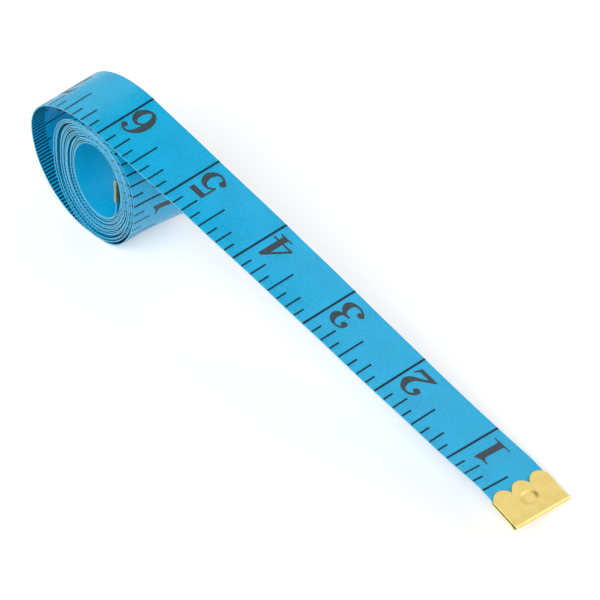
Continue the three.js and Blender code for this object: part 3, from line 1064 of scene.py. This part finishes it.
def make_object(name: str, points: np.ndarray, faces: list[tuple[int, ...]], places: np.ndarray, slots: list[int],
                materials: list[bpy.types.Material]) -> bpy.types.Object:
    """Make a smooth-shaded mesh object with sharp corners and its own coordinates.

    Args:
        name: the piece's name.
        points: one row of metres for each corner.
        faces: corner numbers of each face.
        places: one row of coordinates, in millimetres, for each corner of each face in turn.
        slots: the material number of each face.
        materials: the piece's materials.

    Returns:
        The object, linked to the scene.
    """
    mesh = bpy.data.meshes.new(name)
    mesh.from_pydata([tuple(p) for p in points], [], faces)
    for material in materials:
        mesh.materials.append(material)
    mesh.polygons.foreach_set("material_index", slots)
    mesh.polygons.foreach_set("use_smooth", [True] * len(faces))
    mesh.uv_layers.new(name="tape").data.foreach_set("uv", np.asarray(places, float).ravel())
    mesh.validate()
    mesh.set_sharp_from_angle(angle=SHARP)
    mesh.update()
    thing = bpy.data.objects.new(name, mesh)
    bpy.context.scene.collection.objects.link(thing)
    return thing


class Held(Enum):
    """How a length of tape is held, in the frame's own words."""

    FOLDED = "folded"
    STRETCHED = "stretched"
    LAID = "laid"


@dataclass(frozen=True)
class Length:
    """A length of tape that is one piece, with the bodies that carry it and the solids that it stands for."""

    name: str
    low: float
    high: float
    body: str
    second: str | None
    nodes: tuple[str, ...]
    held: Held


@dataclass
class Tape:
    """The printed cloth tape, from the tip in the outer clip to the end in the inner one.

    The roll's tape rides on the roll. Each inch of the tail is one piece that names the two bodies meeting at its
    inch line, though it is not attached to them, and the pieces join at the half-inch lines, where no joint lies.
    """

    course: Course
    cloth: bpy.types.Material
    edge: bpy.types.Material
    ink: bpy.types.Material
    line_ink: bpy.types.Material
    columns: int = 13
    step: float = 0.85
    ink_rise: float = 0.025
    ink_root: float = 0.02
    # The inner end's piece starts this far before the coil's end, and the second value is a reach on each side of its
    # hinge
    inner_lap: float = 4.0
    inner_bend: float = 3.0

    def ribbon(self, name: str, low: float, high: float) -> bpy.types.Object:
        """A closed length of tape.

        Args:
            name: the piece's name.
            low: its nearer end, in millimetres from the outer clip's fold.
            high: its farther end.

        Returns:
            The ribbon's object.
        """
        rows = max(2, math.ceil((high - low) / self.step)) + 1
        wide = self.columns
        distance = np.repeat(np.linspace(low, high, rows), 2 * wide)
        line = np.linspace(-1, 1, wide) * self.course.width / 2
        offset = np.tile(np.concatenate([line, line]), rows)
        face = np.tile(np.repeat([1.0, -1.0], wide), rows)
        points = self.course.surface(distance, offset, face * self.course.thickness / 2)
        faces, slots, places = [], [], []

        def front(i: int, j: int) -> int:
            """Number of a corner on the front."""
            return i * 2 * wide + j

        def back(i: int, j: int) -> int:
            """Number of a corner on the back."""
            return front(i, j) + wide

        def add(corners: tuple[int, ...], slot: int) -> None:
            """Add one face, with its coordinates along and across the tape, or along and through its edge.

            Args:
                corners: the face's corner numbers.
                slot: 0 for cloth, and 1 for a slit edge.
            """
            faces.append(corners)
            slots.append(slot)
            places.extend((distance[c], face[c] if slot else offset[c]) for c in corners)

        last = wide - 1
        for i in range(rows - 1):
            for j in range(last):
                add((front(i, j), front(i, j + 1), front(i + 1, j + 1), front(i + 1, j)), 0)
                add((back(i, j), back(i + 1, j), back(i + 1, j + 1), back(i, j + 1)), 0)
            add((front(i, 0), front(i + 1, 0), back(i + 1, 0), back(i, 0)), 1)
            add((front(i, last), back(i, last), back(i + 1, last), front(i + 1, last)), 1)
        end = rows - 1
        for j in range(last):
            add((front(0, j), back(0, j), back(0, j + 1), front(0, j + 1)), 1)
            add((front(end, j), front(end, j + 1), back(end, j + 1), back(end, j)), 1)
        return make_object(name, points, faces, np.array(places), slots, [self.cloth, self.edge])

    def film(self, name: str, scale: InchScale | CentimetreScale, low: float, high: float) -> bpy.types.Object | None:
        """The ink of one scale on a length of tape, as thin closed films.

        Args:
            name: the piece's name.
            scale: the scale that is printed.
            low: the length's nearer end, in millimetres from the outer clip's fold.
            high: its farther end.

        Returns:
            The film's object, or None where nothing is printed.
        """
        flat: list[Point2] = []
        tops: list[tuple[int, ...]] = []
        inks: list[int] = []
        for mark in scale.marks():
            corners, parts = mark.flat(low, high)
            inks += [int(isinstance(mark, Bar))] * len(parts)
            for part in parts:
                ring = np.array([corners[i] for i in part])
                turn = np.cross(ring[1] - ring[0], ring[2] - ring[0])
                ordered = part if (turn > 0) == (scale.side is Side.BACK) else part[::-1]
                tops.append(tuple(len(flat) + i for i in ordered))
            flat += corners
        if not flat:
            return None
        count = len(flat)
        place = np.array(flat + flat)
        half, sign = self.course.thickness / 2, scale.side.value
        heights = np.repeat([sign * (half + self.ink_rise), sign * (half - self.ink_root)], count)
        points = self.course.surface(place[:, 0], place[:, 1], heights)
        edges = {(a, b): ink for top, ink in zip(tops, inks) for a, b in zip(top, top[1:] + top[:1])}
        rims = [edge for edge in sorted(edges) if edge[::-1] not in edges]
        faces = tops + [tuple(i + count for i in top[::-1]) for top in tops]
        faces += [(a + count, b + count, b, a) for a, b in rims]
        places = np.array([place[c] for f in faces for c in f])
        slots = inks + inks + [edges[r] for r in rims]
        return make_object(name, points, faces, places, slots, [self.ink, self.line_ink])

    def lengths(self) -> list[Length]:
        """Divide the tape into its pieces.

        Returns:
            The roll's length, the two ends, and one for each bend of the tail.
        """
        course = self.course
        inner_from = course.coil_end - self.inner_lap
        out = [Length("roll_tape", 5.5 * INCH, inner_from, "roll", None, ("coil", "outer_loop"), Held.FOLDED),
               Length("inner_end_tape", inner_from, course.end, "roll", "inner", ("inner_end",), Held.STRETCHED),
               Length("tip_tape", course.tip, 0.5 * INCH, "tail_1", None, (), Held.LAID)]
        body = "roll"
        for n in BENDS:
            out.append(Length(f"tail_tape_{n}", (n - 0.5) * INCH, (n + 0.5) * INCH, body, f"tail_{n}",
                              (f"tail_inch_{n}",), Held.STRETCHED))
            body = f"tail_{n}"
        return out

    def build(self) -> list[bpy.types.Object]:
        """Build and dress every length of the tape, and attach each one that rides on a single body.

        Returns:
            The tape's own pieces, without their print.
        """
        scales = (("inch", InchScale(self.course)), ("centimetre", CentimetreScale(self.course)))
        built = []
        for length in self.lengths():
            low, high = length.low, length.high
            strip = self.ribbon(length.name, low, high)
            films = [self.film(f"{length.name}_{kind}_print", scale, low, high) for kind, scale in scales]
            films = [film for film in films if film]
            for piece in [strip] + films:
                self.attach(piece, length)
            if length.nodes:
                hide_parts(*length.nodes)
            built.append(strip)
            LOG.info("%s: %.1f mm of tape on %s, %d printed films", length.name, high - low, length.body, len(films))
        return built

    def attach(self, piece: bpy.types.Object, length: Length) -> None:
        """Ride a piece on its one body; a piece that lies between two only has its transform baked into its mesh.

        Args:
            piece: the piece to attach.
            length: the length of tape that it belongs to.
        """
        if length.second is None:
            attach(piece, length.body)
            return
        if length.second == "inner":
            hinge = Vector((self.course.hinge + self.course.origin) * MILLIMETRE)
            rise = Vector((0, 0, self.inner_bend * MILLIMETRE))
            start, end = hinge - rise, hinge + rise
        else:
            start, end = (Vector((self.course.station(d).point + self.course.origin) * MILLIMETRE)
                          for d in (length.high, length.low))
        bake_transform(piece)


# Brass clips

class Fold(Enum):
    """The three parts of a folded clip, from its lower rim to its upper one."""

    LOWER = "lower"
    BEND = "bend"
    UPPER = "upper"


@dataclass
class Clip:
    """A brass strip folded over the tape's end, with a scalloped rim and a pressed oval dimple."""

    course: Course
    brass: bpy.types.Material
    sheet: float = 0.3
    height: float = 1.4
    pinched: float = 1.08
    pinch_end: float = 2.2
    width: float = 20.8
    side: float = 8.5
    scallops: int = 3
    scallop_rise: float = 2.0
    # The tape nearly fills the slot, so the plate's inner skin sinks less than its outer one. The dimple's ends rise
    # more gently than its long sides, and its floor is flat over a share of its reach.
    dimple_across: float = 7.2
    dimple_along: float = 4.6
    dimple_depth: float = 0.25
    dimple_inside: float = 0.08
    dimple_inset: float = 5.4
    dimple_ends: float = 1.7
    dimple_floor: float = 0.5
    rows: int = 40
    columns: int = 73
    fold_rows: int = 12
    bevel: float = 0.07
    bevel_segments: int = 2
    bevel_angle: float = math.radians(50)
    # The lower plate's coordinates lie apart from the upper one's, so that the two have streaks of their own
    lower_shift: float = 20.0

    def reach(self, offset: float) -> float:
        """How far a plate runs from the fold's outer face.

        Args:
            offset: millimetres across from the plate's middle.

        Returns:
            Millimetres to its scalloped rim.
        """
        half = self.width / self.scallops / 2
        scallop = math.floor((offset + self.width / 2) / (2 * half) - TOUCH)
        centre = (scallop + 0.5) * 2 * half - self.width / 2
        radius = (half * half + self.scallop_rise ** 2) / (2 * self.scallop_rise)
        from_middle = min(half, abs(offset - centre))
        return self.side + math.sqrt(radius ** 2 - from_middle ** 2) - (radius - self.scallop_rise)

    def dimple(self, along: float, offset: float) -> float:
        """How far the dimple sinks at a place on the upper plate.

        Args:
            along: millimetres from the fold's outer face.
            offset: millimetres across from the plate's middle.

        Returns:
            A share of its depth, from 0 to 1.
        """
        lengthwise = abs(along - self.dimple_inset) / (self.dimple_along / 2)
        crosswise = abs(offset) / (self.dimple_across / 2)
        return smooth(math.sqrt(lengthwise ** 2 + crosswise ** self.dimple_ends), 1.0, self.dimple_floor)

    def profile(self) -> list[tuple[Fold, float]]:
        """Follow the folded strip from the lower plate's rim round the bend to the upper plate's rim.

        Returns:
            Its rows: on a plate, each row's share of the way to the rim, and on the bend, its angle in degrees.
        """
        plate = list(np.linspace(0, 1, self.rows))
        turn = list(np.linspace(-90, 90, self.fold_rows + 1))[1:-1]
        rows = ((Fold.LOWER, plate[::-1]), (Fold.BEND, turn), (Fold.UPPER, plate))
        return [(part, at) for part, places in rows for at in places]

    def build(self, name: str, end: np.ndarray, out: np.ndarray, across: np.ndarray, upper: np.ndarray,
              body: str, node: str) -> bpy.types.Object:
        """Build one clip and attach it.

        Args:
            name: the piece's name.
            end: the end of the tape inside the fold, in the roll's frame.
            out: direction out of the tape's end.
            across: direction across the clip.
            upper: direction off the plate that has the dimple.
            body: the body that it rides on.
            node: the solid that it stands for.

        Returns:
            The clip's object.
        """
        centre = self.height / 2
        middle = centre - self.sheet / 2
        offsets = np.linspace(-self.width / 2, self.width / 2, self.columns)
        profile = self.profile()
        grid, places = [], []
        for skin in (1, -1):
            for part, at in profile:
                for offset in offsets:
                    if part is Fold.BEND:
                        angle = math.radians(at)
                        radius = middle + skin * self.sheet / 2
                        along, rise = centre - radius * math.cos(angle), radius * math.sin(angle)
                    else:
                        along = centre + at * (self.reach(offset) - centre)
                        sign = 1 if part is Fold.UPPER else -1
                        close = (self.height - self.pinched) / 2 * smooth(along, centre, self.pinch_end)
                        rise = sign * (middle - close + skin * self.sheet / 2)
                        if part is Fold.UPPER:
                            depth = self.dimple_depth if skin > 0 else self.dimple_inside
                            rise -= depth * self.dimple(along, offset)
                    grid.append(end + out * (self.course.tip - along) + across * offset + upper * rise)
                    places.append((along + (self.lower_shift if part is Fold.LOWER else 0), offset))
        rows, wide = len(profile), self.columns
        faces = []

        def outer(i: int, j: int) -> int:
            """Number of a corner on the outer skin."""
            return i * wide + j

        def inner(i: int, j: int) -> int:
            """Number of a corner on the inner skin."""
            return outer(i, j) + rows * wide

        for i in range(rows - 1):
            for j in range(wide - 1):
                faces.append((outer(i, j), outer(i + 1, j), outer(i + 1, j + 1), outer(i, j + 1)))
                faces.append((inner(i, j), inner(i, j + 1), inner(i + 1, j + 1), inner(i + 1, j)))
            faces.append((outer(i, 0), inner(i, 0), inner(i + 1, 0), outer(i + 1, 0)))
            faces.append((outer(i, wide - 1), outer(i + 1, wide - 1), inner(i + 1, wide - 1), inner(i, wide - 1)))
        for j in range(wide - 1):
            faces.append((outer(0, j), outer(0, j + 1), inner(0, j + 1), inner(0, j)))
            faces.append((outer(rows - 1, j), inner(rows - 1, j), inner(rows - 1, j + 1), outer(rows - 1, j + 1)))
        if np.dot(np.cross(out, across), upper) > 0:
            faces = [f[::-1] for f in faces]
        points = (np.array(grid) + self.course.origin) * MILLIMETRE
        laid = np.array([places[c] for f in faces for c in f])
        clip = make_object(name, points, faces, laid, [0] * len(faces), [self.brass])
        rim = clip.modifiers.new("rim", "BEVEL")
        rim.width, rim.segments = self.bevel * MILLIMETRE, self.bevel_segments
        rim.limit_method, rim.angle_limit = "ANGLE", self.bevel_angle
        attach(clip, body)
        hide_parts(node)
        LOG.info("%s: brass clip on %s", name, body)
        return clip

    def build_outer(self) -> bpy.types.Object:
        """Build the clip at the tape's outer end."""
        tip = self.course.station(self.course.tip)
        return self.build("outer_clip", tip.point, tip.along, tip.across, tip.normal, "tail_1", "end_clip")

    def build_inner(self) -> bpy.types.Object:
        """Build the clip at the tape's inner end."""
        last = self.course.station(self.course.end)
        return self.build("inner_clip_brass", last.point, -last.along, last.across, -last.normal,
                          "inner", "inner_clip")


# Studio

@dataclass
class Studio:
    """A white sweep, soft light from all round with a gentle key, and the photograph's camera."""

    eye: tuple[float, float, float] = (342.75, -356.37, 499.33)
    target: tuple[float, float, float] = (2.97, 1.17, 15.0)
    roll: float = math.radians(1.26)
    lens: float = 163.07
    sensor: float = 36.0
    view_end: float = 20.0
    # Brightness of the surroundings by height: pale walls under a dim ceiling
    walls: tuple[tuple[float, str], ...] = (
        (0.0, "#c4c4c4"), (0.3, "#c1c1c1"), (0.45, "#cdcdcd"), (0.56, "#e1e1e1"),
        (0.66, "#ffffff"), (0.69, "#ffffff"), (0.76, "#181818"))
    wall_strength: float = 1.35
    key_strength: float = 1.66
    key_from: tuple[float, float, float] = (0.2, -0.6, 0.77)
    key_spread: float = math.radians(50)
    # A soft box at the right, in metres
    box_from: tuple[float, float, float] = (0.554, 0.791, 0.2)
    box_side: float = 0.36
    box_brightness: float = 1.5
    box_distance: float = 0.8

    def camera(self) -> None:
        """Set the camera at the photograph's view."""
        data = bpy.data.cameras.new("camera")
        data.lens, data.sensor_width, data.clip_end = self.lens, self.sensor, self.view_end
        camera = bpy.data.objects.new("camera", data)
        look = Vector(self.target) - Vector(self.eye)
        turn = look.to_track_quat("-Z", "Y").to_matrix() @ Matrix.Rotation(self.roll, 3, "Z")
        camera.matrix_world = Matrix.Translation(Vector(self.eye) * MILLIMETRE) @ turn.to_4x4()
        bpy.context.scene.collection.objects.link(camera)
        bpy.context.scene.camera = camera

    def sweep(self) -> None:
        """Lay the white sweep under the object."""
        reach = FLOOR_REACH * MILLIMETRE / 2
        corners = [(-reach, -reach, 0.0), (reach, -reach, 0.0), (reach, reach, 0.0), (-reach, reach, 0.0)]
        places = np.array([c[:2] for c in corners])
        paper = PaperSweepFinish().material()
        floor = make_object("paper_sweep", np.array(corners), [(0, 1, 2, 3)], places, [0], [paper])

    def light(self) -> None:
        """Light the object softly from all round, with a wide key from the camera's side and a soft box behind."""
        world = bpy.data.worlds.new("studio")
        world.use_nodes = True
        tree = world.node_tree
        tree.nodes.clear()
        heading = add_node(tree, "ShaderNodeTexCoord").outputs["Generated"]
        up = add_node(tree, "ShaderNodeSeparateXYZ", {"Vector": heading}).outputs["Z"]
        level = add_node(tree, "ShaderNodeValToRGB", {"Fac": up}, self.walls).outputs["Color"]
        glow = add_node(tree, "ShaderNodeBackground", {"Color": level, "Strength": self.wall_strength})
        add_node(tree, "ShaderNodeOutputWorld", {"Surface": glow.outputs[0]})
        bpy.context.scene.world = world
        key = bpy.data.lights.new("key", "SUN")
        key.energy, key.angle = self.key_strength, self.key_spread
        box = bpy.data.lights.new("right_box", "AREA")
        box.size, box.energy = self.box_side, self.box_brightness * math.pi * self.box_side ** 2
        for light, source, distance in ((key, self.key_from, 0.0), (box, self.box_from, self.box_distance)):
            lamp = bpy.data.objects.new(light.name, light)
            lamp.location = Vector(source).normalized() * distance
            lamp.rotation_euler = Vector(source).to_track_quat("Z", "Y").to_euler()
            bpy.context.scene.collection.objects.link(lamp)

    def build(self) -> None:
        """Set up the sweep, the light and the camera."""
        self.camera()
        self.sweep()
        self.light()
        bpy.context.scene.view_settings.view_transform = "Standard"
        LOG.info("studio: sweep, light and camera")


def main() -> None:
    """Build the studio, the tape and the clips in order."""
    logging.basicConfig(level=logging.INFO, format="%(message)s")
    course = Course()
    LOG.info("course: %.1f mm of tape, coil ends at %.1f mm", course.end, course.coil_end)
    Studio().build()
    line_ink = InkFinish("screen_printed_line_ink", dense="#06283c", thin="#0e3850")
    Tape(course, CoatedClothFinish().material(), CutEdgeFinish().material(), InkFinish().material(),
         line_ink.material()).build()
    Clip(course, PressedBrassFinish().material()).build_outer()
    dull_brass = PressedBrassFinish("dulled_pressed_brass", bright="#e0d6b4", warm="#cfc29a", roughness=(0.32, 0.5))
    Clip(course, dull_brass.material(), sheet=0.2, height=0.86, pinched=0.72, side=7.5,
         dimple_depth=0.12, dimple_inside=0.0).build_inner()


if __name__ == "__main__":
    main()
